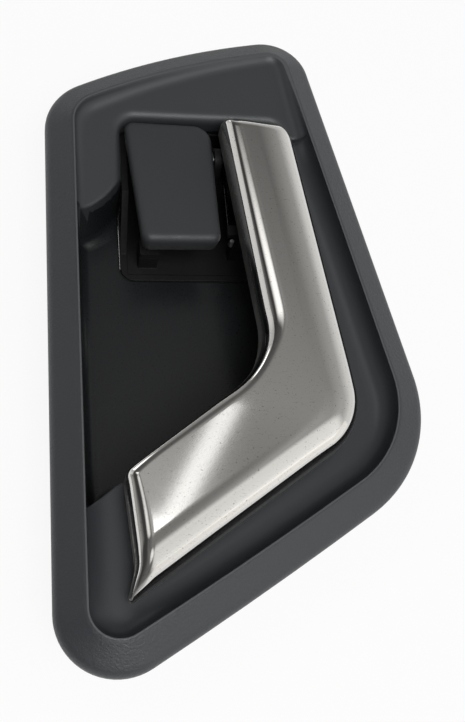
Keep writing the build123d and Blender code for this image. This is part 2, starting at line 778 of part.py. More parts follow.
# Lock detent spring: a bent leaf on the frame's floor, its crest under the knob's hub
with BuildPart() as lock_detent_spring:
    leaf_z = frame_inside + leaf_thickness / 2
    with BuildSketch(Plane.YZ.offset(leaf_left)):
        with BuildLine() as leaf_line:
            Polyline((leaf_seat[0], leaf_z), (leaf_seat[1], leaf_z), *leaf_crest)
        trace(leaf_line.line, line_width=leaf_thickness)
    extrude(amount=leaf_width)
    with BuildSketch(Plane.XY.offset(frame_inside)):
        with Locations(leaf_peg):
            Circle(leaf_peg_radius + running_gap)
    extrude(amount=2 * leaf_thickness, mode=Mode.SUBTRACT)
lock_detent_spring.part.label = "lock_detent_spring"
export_step(lock_detent_spring.part, "parts/lock_detent_spring.step")

# Rubber buffers: a domed head on the tray, a neck through it and a bulb that holds it
with BuildPart() as lever_bumpers:
    bumper_top = arm_back - bumper_gap
    with BuildSketch(Plane.XZ) as bumper_profile:
        with BuildLine():
            Polyline(
                (0, tray_floor - wall - bumper_bulb_length),
                (bumper_bulb_tip, tray_floor - wall - bumper_bulb_length),
                (bumper_bulb_radius, tray_floor - wall),
                (bumper_neck_radius, tray_floor - wall),
                (bumper_neck_radius, tray_floor),
                (bumper_head_radius, tray_floor),
                (bumper_head_radius, bumper_top - bumper_head_chamfer),
                (bumper_head_radius - bumper_head_chamfer, bumper_top),
                (0, bumper_top),
                close=True,
            )
        make_face()
    bumper = revolve(axis=Axis.Z, mode=Mode.PRIVATE)
    for x, y in bumper_points:
        add(bumper.moved(Location((x, y, 0))))
lever_bumpers.part.label = "lever_bumpers"
export_step(lever_bumpers.part, "parts/lever_bumpers.step")

# Rubber pads that end the knob's and the lever's travel
for pad_name, (pad_low, pad_high) in (("knob_stop_pad", knob_pad), ("lever_stop_pad", lever_pad)):
    with BuildPart() as pad:
        with Locations(pad_low):
            Box(*(b - a for a, b in zip(pad_low, pad_high)), align=(Align.MIN, Align.MIN, Align.MIN))
        fillet(pad.edges().filter_by(Axis.Z), pad_round)
    pad.part.label = pad_name
    export_step(pad.part, f"parts/{pad_name}.step")
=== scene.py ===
"""Looks of the car interior door handle: skins of the lever and the knob, materials, light and camera."""

import json
import math

import bpy
import numpy as np
from mathutils import Matrix, Vector


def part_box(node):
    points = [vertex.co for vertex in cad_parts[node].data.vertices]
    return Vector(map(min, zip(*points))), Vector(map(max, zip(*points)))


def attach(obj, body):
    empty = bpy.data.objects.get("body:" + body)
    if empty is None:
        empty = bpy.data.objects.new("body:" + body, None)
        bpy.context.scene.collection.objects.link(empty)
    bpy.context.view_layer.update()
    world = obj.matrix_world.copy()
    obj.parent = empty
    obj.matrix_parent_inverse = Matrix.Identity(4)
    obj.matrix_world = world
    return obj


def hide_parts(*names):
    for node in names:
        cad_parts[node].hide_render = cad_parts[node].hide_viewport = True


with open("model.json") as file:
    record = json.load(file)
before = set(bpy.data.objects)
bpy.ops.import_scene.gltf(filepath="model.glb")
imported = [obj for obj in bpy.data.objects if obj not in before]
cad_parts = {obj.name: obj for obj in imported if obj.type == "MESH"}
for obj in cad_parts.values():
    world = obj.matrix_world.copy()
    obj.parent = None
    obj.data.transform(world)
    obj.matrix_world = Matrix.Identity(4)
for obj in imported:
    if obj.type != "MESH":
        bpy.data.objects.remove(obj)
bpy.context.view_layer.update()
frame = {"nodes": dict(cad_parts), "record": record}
nodes = frame["nodes"]
MM = 0.001

# Camera solved on the photo's outline, in millimetres and degrees; the clip is in metres
CAM_AZIMUTH = -26.4703
CAM_ELEVATION = 63.5556
CAM_ROLL = 23.6087
CAM_DISTANCE = 242.417
CAM_AIM = (-0.7398, -13.243, 0.0)
CAM_CLIP = 0.01
SENSOR_WIDTH = 36.0
FOCAL_PIXELS = 1000.0
PHOTO_HEIGHT = 722.0
CAM_LENS = SENSOR_WIDTH * FOCAL_PIXELS / PHOTO_HEIGHT

# Plate outline, as in the CAD source, in millimetres
PLATE_CORNERS = ((-44.7, 61.3), (25.9, 85.4), (48.1, -40.5), (-44.7, -95.0))
PLATE_RADII = (16.0, 12.0, 33.0, 14.0)
PLATE_STEP = 1.0
TOP_BOW = 3.8
BOTTOM_BOW = 1.2
# Points of each bowed side: how many, those between the corner rounds, and those that the rounds aim at
BOW_POINTS = 41
TOP_BETWEEN = slice(10, 33)
BOTTOM_BETWEEN = slice(14, 34)
TOP_AIMS = (8, 32)
BOTTOM_AIMS = (10, 32)

# Where the bezel's finishes meet
RIM_WIDTH = 7.4
RIM_OVERLAP = 0.25
RIM_CREST = 6.5
CREST_BAND = 0.02
SHELF_FOOT_Y = 29.0
SHELF_STEP = (-21.3, 51.0)
SHELF_FOOT_SLACK = 0.5
SHELF_STEP_SLACK = 0.05
SHELF_LOWEST = -3.0
CUP_TOP = -0.05
RIM, TRAY, SHELF, CUP, CREST = range(5)

# Lever outline and section, as in the CAD source apart from a wider round at the inner elbow
TOP_LEFT = (0.2, 52.4)
TOP_RIGHT = (18.9, 50.2)
OUTER_ELBOW = (28.0, -33.7)
TIP = (-29.5, -71.8)
WAIST = (-27.3, -64.0)
END = (-28.9, -43.6)
INNER_ELBOW = (6.4, -17.8)
TOP_LEFT_RADIUS = 1.8
TOP_RIGHT_RADIUS = 8.0
OUTER_ELBOW_RADIUS = 16.0
TIP_RADIUS = 0.8
WAIST_RADIUS = 8.0
END_RADIUS = 2.6
INNER_ELBOW_RADIUS = 22.0
LEVER_BOTTOM = 3.6
LEVER_FACE = 12.0
LEVER_WALL = 1.7

# Lever skin: pairs give the upper and the lower arm
CROWN = 0.15
BEVEL_WIDTH = (10.5, 8.5)
BEVEL_FALL = (5.0, 7.5)
BEVEL_REACH = (1.4, 1.3)
LOWER_ARM = (72.0, 104.0)
ROLL = (
    ((2.0, 50.0), 4.6), ((10.7, -7.6), 5.9), ((6.0, -17.2), 3.4), ((-5.0, -28.0), 2.6), ((-24.0, -41.0), 2.2),
    ((-28.2, -52.0), 4.0), ((-28.0, -70.0), 4.0),
)
ROLL_FALL = 0.58
ROLL_BLEND = 6.0
ROLL_MARKS = 400
UPPER_ROUND = 2.2
LOWER_ROUND = 0.5
END_ROUND = 1.6
END_ROUND_FROM = 4.0
END_ROUND_TO = 2.0
TOP_DROP = 2.6
TOP_SLOPE = 1.1
TOP_BLEND = 2.0
EDGE_LIP = 0.4
FOOT_ROUND = 0.12
INSIDE_WALL = 2.6
WALL_SHARES = (0.15, 0.4, 0.7, 0.94)
INSIDE_LEVER = (8.0, 10.0)

# Lever mesh: steps along its edges, rows that pair its two edges, and columns across it
EDGE_STEP = 0.2
LINE_STEP = 0.3
ROW_KEYS = ((0.0, 0.0), (8.0, 14.5), (56.0, 62.0), (86.0, 100.0))
LAST_ROWS = (6.0, 4.0)
ROW_COUNTS = (30, 110, 110, 100, 30)
END_HOLLOW = 16.0
NEAR_EDGE = (0, 0.04, 0.1, 0.18, 0.28, 0.4, 0.55, 0.75, 1.0, 1.3, 1.6, 1.9, 2.2, 2.5, 2.8, 3.1, 3.5, 4.0)
NEAR_SHARE = 0.32
MIDDLE_COLUMNS = 40
TANGENT_REACH = 3
PROBE_BACK = 5

# Lock knob as photographed, up to 1.3 mm off the solid's corners: corners of its face, rounds and section
KNOB_CORNERS = ((-24.5, 54.4), (-1.4, 53.8), (-1.4, 17.6), (-21.4, 17.4))
KNOB_RADII = (2.4, 5.0, 2.4, 2.4)
KNOB_LEAST_RADIUS = 0.2
KNOB_CORNER_POINTS = 14
KNOB_FACE = ((54.4, 4.0), (17.4, 5.0))
KNOB_BACK = ((16.2, -0.6), (36.0, -4.0), (42.5, -2.0), (54.4, -2.0))
KNOB_EDGE_ROUND = 2.0
KNOB_EDGE_RINGS = 9
KNOB_DRAFT = 0.6
KNOB_WALL = 1.8
KNOB_AXIS = (46.0, -1.0)
KNOB_HUB_RADIUS = 4.4
KNOB_HUB_SLACK = 0.05
KNOB_HUB_FOOT = -4.2
KNOB_SHARP_ANGLE = 40

# Bright cut end of the return spring's moving leg
CUT_END_LENGTH = 2.0
SPRING_END_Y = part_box("lever_return_spring")[0].y / MM + CUT_END_LENGTH

# Points of a corner's arc: on most corners, on wide ones, on the widest, and at the tip
ARC_POINTS = 24
WIDE_ARC_POINTS = 40
WIDEST_ARC_POINTS = 70
TIP_ARC_POINTS = 16

CHUNK = 4000
LEAST_LENGTH = 1e-6


def fillet_points(before, at, after, radius, count=ARC_POINTS):
    """Points of the arc that rounds a corner."""
    at = np.array(at, float)
    u = np.array(before, float) - at
    v = np.array(after, float) - at
    u /= np.linalg.norm(u)
    v /= np.linalg.norm(v)
    half = math.acos(float(np.clip(u @ v, -1, 1))) / 2
    run = radius / math.tan(half)
    centre = at + (u + v) / np.linalg.norm(u + v) * radius / math.sin(half)
    start = at + u * run - centre
    end = at + v * run - centre
    turn = math.atan2(start[0] * end[1] - start[1] * end[0], start @ end)
    angles = np.linspace(0, turn, count)
    c = np.cos(angles)
    s = np.sin(angles)
    return centre + np.stack([start[0] * c - start[1] * s, start[0] * s + start[1] * c], 1)


def resample(points, step):
    """The same open curve with points a given step apart."""
    points = np.array(points, float)
    lengths = np.linalg.norm(np.diff(points, axis=0), axis=1)
    points = points[np.r_[True, lengths > LEAST_LENGTH]]
    arc = np.r_[0, np.cumsum(np.linalg.norm(np.diff(points, axis=0), axis=1))]
    count = max(2, int(arc[-1] / step) + 1)
    at = np.linspace(0, arc[-1], count)
    return np.stack([np.interp(at, arc, points[:, k]) for k in range(2)], 1)


def nearest(curve, xy):
    """Distance of each point to a polyline, and how far along the polyline its nearest point lies."""
    xy = np.asarray(xy, float)
    a = curve[:-1]
    d = curve[1:] - a
    length = np.linalg.norm(d, axis=1)
    start = np.r_[0, np.cumsum(length)[:-1]]
    away = np.empty(len(xy))
    arc = np.empty(len(xy))
    for first in range(0, len(xy), CHUNK):
        p = xy[first:first + CHUNK, None, :]
        t = np.clip(((p - a) * d).sum(2) / length ** 2, 0, 1)
        gap = np.sqrt(((p - a - t[..., None] * d) ** 2).sum(2))
        best = gap.argmin(1)
        row = np.arange(len(best))
        away[first:first + CHUNK] = gap[row, best]
        arc[first:first + CHUNK] = start[best] + t[row, best] * length[best]
    return away, arc


def distance_to(curve, xy):
    """Distance of each point to a polyline."""
    return nearest(curve, xy)[0]


def along(curve, s):
    """Points at arc lengths s of a polyline."""
    arc = np.r_[0, np.cumsum(np.linalg.norm(np.diff(curve, axis=0), axis=1))]
    return np.stack([np.interp(s, arc, curve[:, k]) for k in range(2)], 1)


def arc_length(curve):
    """Length of a polyline."""
    return float(np.linalg.norm(np.diff(curve, axis=0), axis=1).sum())


def soft_min(a, b, k):
    """Smaller of two heights, with the crossing rounded over k."""
    h = np.clip(0.5 + 0.5 * (b - a) / k, 0, 1)
    return b * (1 - h) + a * h - k * h * (1 - h)


def smooth(value, low, high):
    """Smooth step from 0 at low to 1 at high."""
    t = np.clip((np.asarray(value, float) - low) / (high - low), 0, 1)
    return t * t * (3 - 2 * t)


def between(pair, share):
    """A value between the two of a pair: the first at share 0, the second at share 1."""
    return pair[0] + (pair[1] - pair[0]) * share


def band(first, second):
    """Four-sided faces between two closed rings of vertices."""
    count = len(first)
    turned = [(k + 1) % count for k in range(count)]
    return [(first[k], first[n], second[n], second[k]) for k, n in enumerate(turned)]


def add_mesh(name, verts, faces):
    """A smooth mesh object from points in millimetres."""
    mesh = bpy.data.meshes.new(name)
    mesh.from_pydata([tuple(c * MM for c in v) for v in verts], [], faces)
    mesh.validate()
    mesh.shade_smooth()
    obj = bpy.data.objects.new(name, mesh)
    bpy.context.scene.collection.objects.link(obj)
    return obj


def lever_edges():
    """The lever's inner edge, its outer edge and its hollow free end, as dense polylines."""
    inner = resample(np.vstack([
        fillet_points(TOP_RIGHT, TOP_LEFT, INNER_ELBOW, TOP_LEFT_RADIUS),
        fillet_points(TOP_LEFT, INNER_ELBOW, END, INNER_ELBOW_RADIUS, WIDEST_ARC_POINTS),
        fillet_points(INNER_ELBOW, END, WAIST, END_RADIUS),
    ]), EDGE_STEP)
    outer = resample(np.vstack([
        fillet_points(TOP_LEFT, TOP_RIGHT, OUTER_ELBOW, TOP_RIGHT_RADIUS, WIDE_ARC_POINTS),
        fillet_points(TOP_RIGHT, OUTER_ELBOW, TIP, OUTER_ELBOW_RADIUS, WIDEST_ARC_POINTS),
        fillet_points(OUTER_ELBOW, TIP, WAIST, TIP_RADIUS, TIP_ARC_POINTS),
    ]), EDGE_STEP)
    hollow = fillet_points(END, WAIST, TIP, WAIST_RADIUS)
    end = resample(np.vstack([inner[-1:], hollow, outer[-1:]]), LINE_STEP)
    return inner, outer, end


def lever_grid(inner, outer, end):
    """Rows of points from the inner edge to the outer one, and where on the outer edge each row ends."""
    inner_length = arc_length(inner)
    outer_length = arc_length(outer)
    end_length = arc_length(end)
    last_keys = ((inner_length - LAST_ROWS[0], outer_length - LAST_ROWS[1]), (inner_length, outer_length))
    keys = ROW_KEYS + last_keys
    inner_at = []
    outer_at = []
    for (a0, b0), (a1, b1), count in zip(keys[:-1], keys[1:], ROW_COUNTS):
        f = np.linspace(0, 1, count, endpoint=False)
        inner_at += list(a0 + (a1 - a0) * f)
        outer_at += list(b0 + (b1 - b0) * f)
    inner_at.append(inner_length)
    outer_at.append(outer_length)
    starts = along(inner, inner_at)
    stops = along(outer, outer_at)
    # columns stand close together at both edges and evenly between; the last rows follow the hollow end
    near = np.array(NEAR_EDGE)
    grid = []
    for p, q, s in zip(starts, stops, inner_at):
        width = float(np.linalg.norm(q - p))
        edge = np.minimum(near, width * near / near[-1] * NEAR_SHARE)
        middle = np.linspace(edge[-1], width - edge[-1], MIDDLE_COLUMNS)[1:-1]
        at = np.r_[edge, middle, (width - edge)[::-1]] / width
        hollow = along(end, at * end_length) - (starts[-1] + (stops[-1] - starts[-1]) * at[:, None])
        share = max(0.0, 1 - (inner_length - s) / END_HOLLOW) ** 2
        grid.append(p + (q - p) * at[:, None] + hollow * share)
    return np.array(grid), outer_at


def lever_heights(xy, lower, inner, outer, end):
    """Height of the lever's skin at each point; lower is 0 on the upper arm and 1 on the lower arm."""
    top_left = np.array(TOP_LEFT)
    top_right = np.array(TOP_RIGHT)
    top_line = np.array([top_left - (top_right - top_left), top_right + (top_right - top_left)])
    edge_line = np.vstack([inner, end[1:]])
    elbow = np.array(OUTER_ELBOW)
    bevel_line = resample(np.vstack([
        [elbow + (top_right - elbow) * BEVEL_REACH[0]],
        fillet_points(TOP_RIGHT, OUTER_ELBOW, TIP, OUTER_ELBOW_RADIUS, WIDEST_ARC_POINTS),
        [elbow + (np.array(TIP) - elbow) * BEVEL_REACH[1]],
    ]), LINE_STEP)
    from_edge, edge_at = nearest(edge_line, xy)
    from_inner = distance_to(inner, xy)
    from_outer = distance_to(outer, xy)
    from_top = distance_to(top_line, xy)
    share = from_inner / np.maximum(from_inner + from_outer, LEAST_LENGTH)
    z = LEVER_FACE - CROWN * (1 - lower) * (2 * share - 1) ** 2

    # the inner edge rolls over: broadly on the upper arm and at the elbow, tightly on the lower arm
    marks = np.linspace(0, arc_length(edge_line), ROLL_MARKS)
    places = nearest(edge_line, [at for at, width in ROLL])[1]
    widths = np.interp(marks, places, [width for at, width in ROLL])
    blends = [np.clip(1 - np.abs(marks - at) / ROLL_BLEND, 0, 1) for at in marks]
    widths = np.array([np.average(widths, weights=blend) for blend in blends])
    roll = np.interp(edge_at, marks, widths)
    z -= ROLL_FALL * roll * np.clip(1 - from_edge / roll, 0, 1) ** 2

    # the outer edge rounds over: wide and low on the upper arm, narrower and deeper on the lower arm
    round_over = np.clip(1 - distance_to(bevel_line, xy) / between(BEVEL_WIDTH, lower), 0, 1)
    z -= between(BEVEL_FALL, lower) * (1 - np.sqrt(1 - round_over ** 2))
    z = soft_min(z, LEVER_FACE - TOP_DROP + TOP_SLOPE * from_top, TOP_BLEND)

    # small rounds along every edge
    inner_length = arc_length(inner)
    at_end = smooth(edge_at, inner_length - END_ROUND_FROM, inner_length + END_ROUND_TO)
    on_arm = LOWER_ROUND + (UPPER_ROUND - LOWER_ROUND) * (1 - lower)
    inner_round = on_arm + (END_ROUND - LOWER_ROUND) * at_end
    for away, radius in ((from_edge, inner_round), (np.minimum(from_outer, from_top), LOWER_ROUND)):
        lost = np.clip(1 - away / radius, 0, 1)
        z -= radius * (1 - np.sqrt(np.clip(1 - lost * lost, 0, 1)))
    return np.maximum(z, LEVER_BOTTOM + EDGE_LIP)


def lever_walls(xy, z):
    """Loops of points that follow the skin's edge: down the outside, across the foot and up the inside."""
    tangent = np.roll(xy, -TANGENT_REACH, axis=0) - np.roll(xy, TANGENT_REACH, axis=0)
    tangent /= np.maximum(np.linalg.norm(tangent, axis=1), LEAST_LENGTH)[:, None]
    inward = np.stack([tangent[:, 1], -tangent[:, 0]], 1)
    probe = len(xy) // 2 - PROBE_BACK
    if (np.array(INSIDE_LEVER) - xy[probe]) @ inward[probe] < 0:
        inward = -inward
    loops = [np.column_stack([xy, z + (LEVER_BOTTOM - z) * share]) for share in WALL_SHARES]
    inside_top = LEVER_BOTTOM + INSIDE_WALL
    for inset, height in ((FOOT_ROUND, LEVER_BOTTOM), (LEVER_WALL, LEVER_BOTTOM), (LEVER_WALL, inside_top)):
        loops.append(np.column_stack([xy + inward * inset, np.full(len(xy), height)]))
    return loops


def build_lever():
    """The lever's chrome skin: a fine grid over its face, and a wall round it with a foot and an inside."""
    inner, outer, end = lever_edges()
    grid, outer_at = lever_grid(inner, outer, end)
    rows, cols = grid.shape[:2]
    xy = grid.reshape(-1, 2)
    lower = np.repeat(smooth(outer_at, *LOWER_ARM), cols)
    z = lever_heights(xy, lower, inner, outer, end)
    verts = [tuple(v) for v in np.column_stack([xy, z])]
    faces = []
    for i in range(rows - 1):
        for j in range(cols - 1):
            a = i * cols + j
            faces.append((a, a + 1, a + cols + 1, a + cols))
    ring = list(range(cols))
    ring += [i * cols + cols - 1 for i in range(1, rows)]
    ring += [(rows - 1) * cols + j for j in range(cols - 2, -1, -1)]
    ring += [i * cols for i in range(rows - 2, 0, -1)]
    last = ring
    for loop in lever_walls(xy[ring], z[ring]):
        now = list(range(len(verts), len(verts) + len(ring)))
        verts += [tuple(v) for v in loop]
        faces += band(now, last)
        last = now
    return add_mesh("lever_skin", verts, faces)


lever = build_lever()
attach(lever, "lever")
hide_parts("lever_cover")


def knob_outline(inset):
    """The knob's rounded plan outline, drawn in by inset."""
    corners = [np.array(c) for c in KNOB_CORNERS]
    drawn = []
    for k, at in enumerate(corners):
        before = corners[k - 1]
        after = corners[(k + 1) % len(corners)]
        u = (before - at) / np.linalg.norm(before - at)
        v = (after - at) / np.linalg.norm(after - at)
        drawn.append(at + (u + v) * inset / abs(u[0] * v[1] - u[1] * v[0]))
    points = []
    for k, at in enumerate(drawn):
        radius = max(KNOB_RADII[k] - inset, KNOB_LEAST_RADIUS)
        after = drawn[(k + 1) % len(drawn)]
        points.append(fillet_points(drawn[k - 1], at, after, radius, KNOB_CORNER_POINTS))
    return np.vstack(points)


def knob_face_height(y):
    """Height of the knob's sloping face."""
    (top_y, top_z), (low_y, low_z) = KNOB_FACE
    return low_z + (top_z - low_z) * (y - low_y) / (top_y - low_y)


def knob_rings():
    """Rings of the knob's cap, from its face over the rounded edge to the foot and up to the inside."""
    rings = []
    for turn in np.radians(np.linspace(90, 0, KNOB_EDGE_RINGS)):
        xy = knob_outline(KNOB_EDGE_ROUND * (1 - math.cos(turn)))
        drop = KNOB_EDGE_ROUND * (1 - math.sin(turn))
        rings.append(np.column_stack([xy, knob_face_height(xy[:, 1]) - drop]))
    for inset in (KNOB_DRAFT, KNOB_WALL):
        xy = knob_outline(inset)
        rings.append(np.column_stack([xy, np.interp(xy[:, 1], *zip(*KNOB_BACK))]))
    ceiling = rings[-1].copy()
    ceiling[:, 2] = knob_face_height(ceiling[:, 1]) - KNOB_WALL
    rings.append(ceiling)
    return rings


def build_knob():
    """The knob's cap with all four corners rounded, on the hub and crank of its solid."""
    solid = nodes["lock_knob"].data
    verts = []
    faces = []
    used = {}
    for face in solid.polygons:
        spots = [solid.vertices[i].co / MM for i in face.vertices]
        hub_reach = KNOB_HUB_RADIUS + KNOB_HUB_SLACK
        on_hub = all(math.dist((v.y, v.z), KNOB_AXIS) < hub_reach for v in spots)
        on_crank = all(v.z < KNOB_HUB_FOOT for v in spots)
        if not (on_hub or on_crank):
            continue
        for i, spot in zip(face.vertices, spots):
            if i not in used:
                used[i] = len(verts)
                verts.append(tuple(spot))
        faces.append([used[i] for i in face.vertices])
    loops = []
    for ring in knob_rings():
        loops.append(list(range(len(verts), len(verts) + len(ring))))
        verts += [tuple(v) for v in ring]
    faces.append(loops[0][::-1])
    for first, second in zip(loops[:-1], loops[1:]):
        faces += band(first, second)
    faces.append(loops[-1])
    obj = add_mesh("knob_skin", verts, faces)
    obj.data.set_sharp_from_angle(angle=math.radians(KNOB_SHARP_ANGLE))
    return obj


knob = build_knob()
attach(knob, "knob")
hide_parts("lock_knob")


# Node helpers; an owner is a material or the world
def add_node(owner, kind):
    return owner.node_tree.nodes.new(kind)


def link(owner, a, b):
    owner.node_tree.links.new(a, b)


def remap(owner, value, low, high, to_low, to_high, interpolation="LINEAR"):
    """The value's range from low to high, mapped to another range."""
    m = add_node(owner, "ShaderNodeMapRange")
    m.interpolation_type = interpolation
    for key, limit in zip(("From Min", "From Max", "To Min", "To Max"), (low, high, to_low, to_high)):
        m.inputs[key].default_value = limit
    link(owner, value, m.inputs["Value"])
    return m.outputs["Result"]


def combine(owner, kind, a, b):
    """Two values joined by a kind of sum."""
    m = add_node(owner, "ShaderNodeMath")
    m.operation = kind
    link(owner, a, m.inputs[0])
    link(owner, b, m.inputs[1])
    return m.outputs["Value"]


def set_input(mat, name, value):
    """Feeds an input of the material's shader."""
    link(mat, value, mat.node_tree.nodes["Principled BSDF"].inputs[name])


def new_material(name, colour, rough, metallic=0.0, spec=0.5):
    mat = bpy.data.materials.new(name)
    mat.use_nodes = True
    bsdf = mat.node_tree.nodes["Principled BSDF"]
    bsdf.inputs["Base Color"].default_value = (*colour, 1.0)
    bsdf.inputs["Roughness"].default_value = rough
    bsdf.inputs["Metallic"].default_value = metallic
    bsdf.inputs["Specular IOR Level"].default_value = spec
    return mat


def noise(mat, scale, detail, rough=0.55, stretch=None):
    """Procedural noise in the object's own coordinates, scale in cycles a metre."""
    place = add_node(mat, "ShaderNodeTexCoord").outputs["Object"]
    if stretch:
        mapping = add_node(mat, "ShaderNodeMapping")
        mapping.inputs["Scale"].default_value = stretch
        link(mat, place, mapping.inputs["Vector"])
        place = mapping.outputs["Vector"]
    out = add_node(mat, "ShaderNodeTexNoise")
    for key, value in (("Scale", scale), ("Detail", detail), ("Roughness", rough)):
        out.inputs[key].default_value = value
    link(mat, place, out.inputs["Vector"])
    return out.outputs["Fac"]


BEVEL_SAMPLES = 6
LEVEL_Z = 0.5
UPRIGHT_Z = 0.15


def bump(mat, value, strength, depth, round_edge=0.0):
    """Fine relief, over edges that look rounded by round_edge; depth and round_edge are in metres."""
    b = add_node(mat, "ShaderNodeBump")
    b.inputs["Strength"].default_value = strength
    b.inputs["Distance"].default_value = depth
    link(mat, value, b.inputs["Height"])
    if round_edge:
        bevel = add_node(mat, "ShaderNodeBevel")
        bevel.samples = BEVEL_SAMPLES
        bevel.inputs["Radius"].default_value = round_edge
        link(mat, bevel.outputs["Normal"], b.inputs["Normal"])
    set_input(mat, "Normal", b.outputs["Normal"])


def steepness(mat):
    """How far a surface stands from level in the object's own frame: 0 on level faces, 1 on upright walls."""
    parts = add_node(mat, "ShaderNodeSeparateXYZ")
    link(mat, add_node(mat, "ShaderNodeTexCoord").outputs["Normal"], parts.inputs["Vector"])
    return remap(mat, parts.outputs["Z"], LEVEL_Z, UPRIGHT_Z, 0.0, 1.0)


def two_colours(mat, share, first, second):
    """The first colour where share is 0, the second where it is 1."""
    m = add_node(mat, "ShaderNodeMix")
    m.data_type = "RGBA"
    m.inputs["A"].default_value = (*first, 1)
    m.inputs["B"].default_value = (*second, 1)
    link(mat, share, m.inputs["Factor"])
    return m.outputs["Result"]


# The middle of a noise's values, where most of them lie
NOISE_LOW = 0.3
NOISE_HIGH = 0.7


def surface(name, colour, rough, patches, roughness, relief, bumps, metallic=0.0, spec=0.5):
    """A material with uneven roughness and fine relief.

    patches and relief give the scale and detail of a noise, roughness its lowest and highest value, and
    bumps the relief's strength, its depth and, where edges look rounded, their radius.
    """
    mat = new_material(name, colour, rough, metallic, spec)
    set_input(mat, "Roughness", remap(mat, noise(mat, *patches), NOISE_LOW, NOISE_HIGH, *roughness))
    bump(mat, noise(mat, *relief), *bumps)
    return mat


grain = surface(
    "grained_plastic", (0.036, 0.039, 0.044), 0.45,
    (2600, 4), (0.38, 0.54), (1700, 3), (0.9, 0.00012, 0.0014))
# Crest: rubbed smoother by use, and painted lighter than the rim as a highlight along its edge
crest_worn_and_highlight = surface(
    "crest_worn_and_highlight", (0.085, 0.089, 0.094), 0.36, (1200, 4), (0.28, 0.46), (1700, 3), (0.3, 0.00005, 0.0003))
shelf_plastic = surface(
    "shelf_plastic", (0.037, 0.040, 0.044), 0.42, (1800, 3), (0.38, 0.46), (2600, 2), (0.08, 0.00004, 0.0015))
# Tray: the shelf's plastic, painted a little lighter as light in the gutters round the lever
tray_plastic_and_painted_light = surface(
    "tray_plastic_and_painted_light", (0.042, 0.045, 0.050), 0.36, (1800, 3), (0.33, 0.39), (2600, 2), (0.06, 0.00004, 0.0008))
# Cup: the same black plastic, painted much darker as shade in its deep recess
cup_plastic_and_painted_shade = surface(
    "cup_plastic_and_painted_shade", (0.013, 0.0142, 0.0155), 0.3, (1800, 3), (0.26, 0.34), (2600, 2), (0.06, 0.00004, 0.0008),
    spec=0.4)
knob_plastic = surface(
    "knob_plastic", (0.034, 0.036, 0.039), 0.5, (1200, 4), (0.42, 0.55), (2600, 3), (0.2, 0.00006, 0.0015),
    spec=0.45)
# Black nylon, painted darker than the other plastics as shade in the window under the knob and the gap beside
# it
nylon_and_shade = surface(
    "nylon_and_painted_shade", (0.011, 0.011, 0.012), 0.6, (900, 3), (0.5, 0.7), (1500, 3), (0.2, 0.00005, 0.0004),
    spec=0.2)
steel = surface(
    "zinc_steel", (0.55, 0.55, 0.54), 0.32, (900, 4), (0.25, 0.42), (2200, 3), (0.15, 0.00003), metallic=1.0)
# Near-black spring steel: painted shade for the spring and pivot pin in the gap between knob and lever
spring_steel = surface(
    "spring_steel", (0.06, 0.06, 0.06), 0.3, (1500, 4), (0.2, 0.36), (3000, 3), (0.15, 0.00002), metallic=1.0)
washer_plastic = surface(
    "washer_plastic", (0.5, 0.48, 0.43), 0.45, (1000, 3), (0.38, 0.52), (1800, 3), (0.15, 0.00003))
rubber = surface(
    "black_rubber", (0.009, 0.009, 0.009), 0.75, (1400, 3), (0.65, 0.85), (2200, 3), (0.3, 0.00005), spec=0.3)

# Satin chrome with dull specks and fine scratches, rougher on its walls
CHROME = (0.66, 0.65, 0.63)
WORN_CHROME = (0.34, 0.33, 0.32)
SCRATCH_STRETCH = (1.0, 9.0, 1.0)
WALL_ROUGHNESS = 0.3
chrome = new_material("satin_chrome", CHROME, 0.1, metallic=1.0)
specks = remap(chrome, noise(chrome, 2600, 2), 0.67, 0.70, 0.0, 1.0)
scratches = remap(chrome, noise(chrome, 700, 2, 0.6, SCRATCH_STRETCH), 0.665, 0.69, 0.0, 0.4)
worn = combine(chrome, "MAXIMUM", specks, scratches)
set_input(chrome, "Base Color", two_colours(chrome, worn, CHROME, WORN_CHROME))
polish = remap(chrome, noise(chrome, 3000, 2), NOISE_LOW, NOISE_HIGH, 0.06, 0.08)
on_walls = remap(chrome, steepness(chrome), 0, 1, 0, WALL_ROUGHNESS)
set_input(chrome, "Roughness", combine(chrome, "ADD", polish, on_walls))
bump(chrome, noise(chrome, 4000, 2), 0.04, 0.00002)

by_slot = {
    "black_trim": grain,
    "satin_chrome": chrome,
    "black_knob": knob_plastic,
    "black_nylon": nylon_and_shade,
    "zinc_steel": steel,
    "spring_steel": spring_steel,
    "pale_washer": washer_plastic,
    "black_rubber": rubber,
}
slot_of = {s["node"]: s["material_slot"] for s in frame["record"]["subparts"]}
for name, obj in nodes.items():
    obj.data.materials.clear()
    obj.data.materials.append(by_slot[slot_of[name]])
lever.data.materials.append(chrome)
knob.data.materials.append(knob_plastic)


def bowed(start, end, bow):
    """Points of a side of the plate that bows outwards, to the left of its run."""
    a = np.array(start, float)
    b = np.array(end, float)
    half = np.linalg.norm(b - a) / 2
    out = np.array([a[1] - b[1], b[0] - a[0]]) / (2 * half)
    radius = (half * half + bow * bow) / (2 * bow)
    centre = (a + b) / 2 - out * (radius - bow)
    turn = 2 * math.asin(half / radius)
    angles = np.linspace(turn / 2, -turn / 2, BOW_POINTS)
    side = np.array([out[1], -out[0]])
    return centre + radius * (np.cos(angles)[:, None] * out - np.sin(angles)[:, None] * side)


